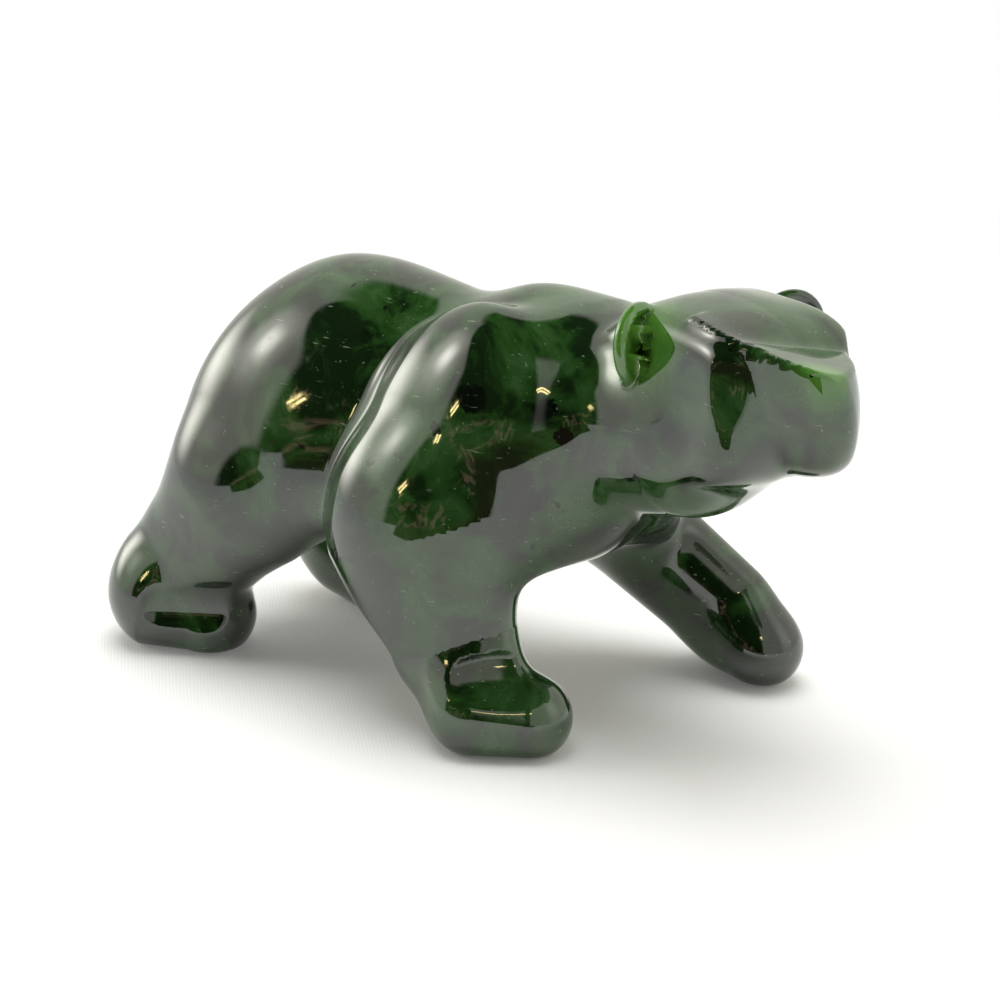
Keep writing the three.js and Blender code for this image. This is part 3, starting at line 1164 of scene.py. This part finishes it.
    def tube_pair(
        self, number: int, azimuth: float, height: float, lean: float
    ) -> bpy.types.Object:
        """Builds a pair of small warm lamp tubes, seen only in reflections.

        Args:
            number: number for its name.
            azimuth: direction from the bear, degrees from the viewer.
            height: degrees above the horizon.
            lean: turn of the pair in its own plane, degrees.

        Returns:
            The pair.
        """
        tubes = []
        for side in (-1, 1):
            bpy.ops.object.select_all(action="DESELECT")
            bpy.ops.mesh.primitive_cylinder_add(
                vertices=16,
                radius=self.tube_radius,
                depth=self.tube_length,
                location=(self.tube_gap * side, 0, 0),
            )
            tubes.append(bpy.context.object)
        pair = fuse(tubes, f"tubes_{number}")
        out = self.direction(azimuth, height)
        facing = (-out).to_track_quat("Y", "Z").to_matrix().to_4x4()
        pair.matrix_world = (
            Matrix.Translation(out * self.tube_distance)
            @ facing
            @ Matrix.Rotation(math.radians(lean), 4, "Y")
            @ Matrix.Translation(-pair.matrix_world.translation)
            @ pair.matrix_world
        )
        bpy.ops.object.transform_apply(location=True, rotation=True, scale=True)
        pair.visible_camera = False
        pair.visible_diffuse = False
        pair.visible_shadow = False
        pair.data.materials.append(self.glowing("warm_tube", (1.0, 0.8, 0.35), self.tube_power))
        return pair

    def tent(self) -> bpy.types.Object:
        """Builds the tent that lights the bear; the camera looks through it.

        Returns:
            The tent.
        """
        bpy.ops.object.select_all(action="DESELECT")
        bpy.ops.mesh.primitive_uv_sphere_add(
            segments=64, ring_count=32, radius=self.tent_radius, location=(0, 0, 0)
        )
        tent = bpy.context.object
        tent.name = "tent"
        slice_off(tent, 0, closed=False)
        bpy.ops.object.shade_smooth()
        tent.visible_camera = False
        material = bpy.data.materials.new("tent_light")
        material.use_nodes = True
        tree = material.node_tree
        tree.nodes.remove(tree.nodes["Principled BSDF"])
        glow = tree.nodes.new("ShaderNodeEmission")
        glow.inputs["Color"].default_value = (*self.wall_color, 1)
        tree.links.new(self.tent_power(tree), glow.inputs["Strength"])
        brown = tree.nodes.new("ShaderNodeEmission")
        brown.inputs["Color"].default_value = (1.0, 0.62, 0.45, 1)
        tree.links.new(self.brown_power(tree), brown.inputs["Strength"])
        both = tree.nodes.new("ShaderNodeAddShader")
        tree.links.new(glow.outputs["Emission"], both.inputs[0])
        tree.links.new(brown.outputs["Emission"], both.inputs[1])
        tree.links.new(both.outputs["Shader"], tree.nodes["Material Output"].inputs["Surface"])
        tent.data.materials.append(material)
        return tent

    def tent_angles(
        self, tree: bpy.types.NodeTree
    ) -> tuple[bpy.types.NodeSocket, bpy.types.NodeSocket]:
        """Writes the direction of each place of the tent.

        Args:
            tree: the material's nodes.

        Returns:
            Degrees from the viewer's side and degrees above the horizon.
        """
        maths = NodeMaths(tree)
        place = tree.nodes.new("ShaderNodeTexCoord")
        split = tree.nodes.new("ShaderNodeSeparateXYZ")
        tree.links.new(place.outputs["Object"], split.inputs[0])
        x, y, z = split.outputs
        turn = math.radians(self.view_azimuth)
        to_view = maths.math(
            "SUBTRACT",
            maths.math("MULTIPLY", x, math.sin(turn)),
            maths.math("MULTIPLY", y, math.cos(turn)),
        )
        to_right = maths.math(
            "ADD",
            maths.math("MULTIPLY", x, math.cos(turn)),
            maths.math("MULTIPLY", y, math.sin(turn)),
        )
        azimuth = maths.math("DEGREES", maths.math("ARCTAN2", to_right, to_view))
        height = maths.math(
            "DEGREES",
            maths.math("ARCSINE", maths.math("DIVIDE", z, self.tent_radius)),
        )
        return azimuth, height

    def brown_power(self, tree: bpy.types.NodeTree) -> bpy.types.NodeSocket:
        """Writes the brown shapes low in the dark opening.

        Args:
            tree: the material's nodes.

        Returns:
            Their brightness.
        """
        maths = NodeMaths(tree)
        azimuth, height = self.tent_angles(tree)
        place = tree.nodes.new("ShaderNodeTexCoord").outputs["Object"]
        shapes = maths.rise(maths.noise(place, 9, 4, 0.7, 1.2), 0.50, 0.56)
        low = maths.rise(height, self.brown_top, self.brown_top - 3)
        sides = maths.band(azimuth, *self.brown_span, 2)
        inside = maths.math("MULTIPLY", sides, self.brown_light)
        return maths.math("MULTIPLY", maths.math("MULTIPLY", shapes, low), inside)

    def tent_power(self, tree: bpy.types.NodeTree) -> bpy.types.NodeSocket:
        """Writes the tent's brightness by direction.

        Args:
            tree: the material's nodes.

        Returns:
            The brightness.
        """
        maths = NodeMaths(tree)
        azimuth, height = self.tent_angles(tree)
        front = maths.band(azimuth, *self.front_span, self.front_soft)
        dip = maths.math("MULTIPLY", front, self.front_dip)
        wall = maths.math("SUBTRACT", self.wall_light, dip)
        power = maths.math("MULTIPLY", wall, maths.rise(height, self.ceiling + 4, self.ceiling - 4))
        for lamp in self.lamps:
            across = maths.band(azimuth, lamp.azimuth, lamp.azimuth, lamp.azimuth_reach)
            up = maths.band(height, lamp.height, lamp.height, lamp.height_reach)
            bump = maths.math("MULTIPLY", maths.math("MULTIPLY", across, up), 16 * lamp.power)
            power = maths.math("ADD", power, bump)
        flare = maths.math("MULTIPLY", maths.rise(height, *self.flare_heights), self.flare_width)
        left_edge = maths.math("ADD", azimuth, flare)
        inside = maths.math(
            "MULTIPLY",
            maths.rise(left_edge, self.opening[0] - 2.5, self.opening[0] + 2.5),
            maths.rise(azimuth, self.opening[1] + 3, self.opening[1] - 3),
        )
        return maths.math("MULTIPLY", power, maths.math("SUBTRACT", 1.0, inside))

    def top_light(self) -> bpy.types.Object:
        """Adds the soft light overhead, kept out of the reflections.

        Returns:
            The light.
        """
        data = bpy.data.lights.new("top_light", "AREA")
        data.shape = "DISK"
        data.size = 0.5
        data.energy = self.top_power
        light = bpy.data.objects.new("top_light", data)
        bpy.context.scene.collection.objects.link(light)
        light.location = self.top_place
        light.visible_glossy = False
        light.visible_camera = False
        return light

    def world(self) -> None:
        """Sets the white world behind the floor."""
        world = bpy.data.worlds.new("white_surround")
        world.use_nodes = True
        sky = world.node_tree.nodes["Background"]
        sky.inputs["Color"].default_value = (1, 1, 1, 1)
        sky.inputs["Strength"].default_value = 1.0
        bpy.context.scene.world = world
        bpy.context.scene.view_settings.view_transform = "Standard"

    def camera(self) -> bpy.types.Object:
        """Adds the camera at the photograph's viewing angle.

        Returns:
            The camera.
        """
        back = self.direction(0, self.view_elevation)
        data = bpy.data.cameras.new("camera")
        data.lens = self.lens
        data.sensor_width = 36
        data.clip_start = 0.01
        data.clip_end = 20
        camera = bpy.data.objects.new("camera", data)
        bpy.context.scene.collection.objects.link(camera)
        camera.location = Vector(self.view_target) + back * self.view_distance
        camera.rotation_mode = "QUATERNION"
        camera.rotation_quaternion = (-back).to_track_quat("-Z", "Y")
        bpy.context.scene.camera = camera
        return camera


def main() -> None:
    """Builds the bear and its studio."""
    logging.basicConfig(level=logging.INFO, format="%(message)s")
    carving = BearCarving().build()
    LOG.info("%s: %d faces", carving.name, len(carving.data.polygons))
    for thing in Studio().build():
        LOG.info("%s: stage", thing.name)


if __name__ == "__main__":
    main()
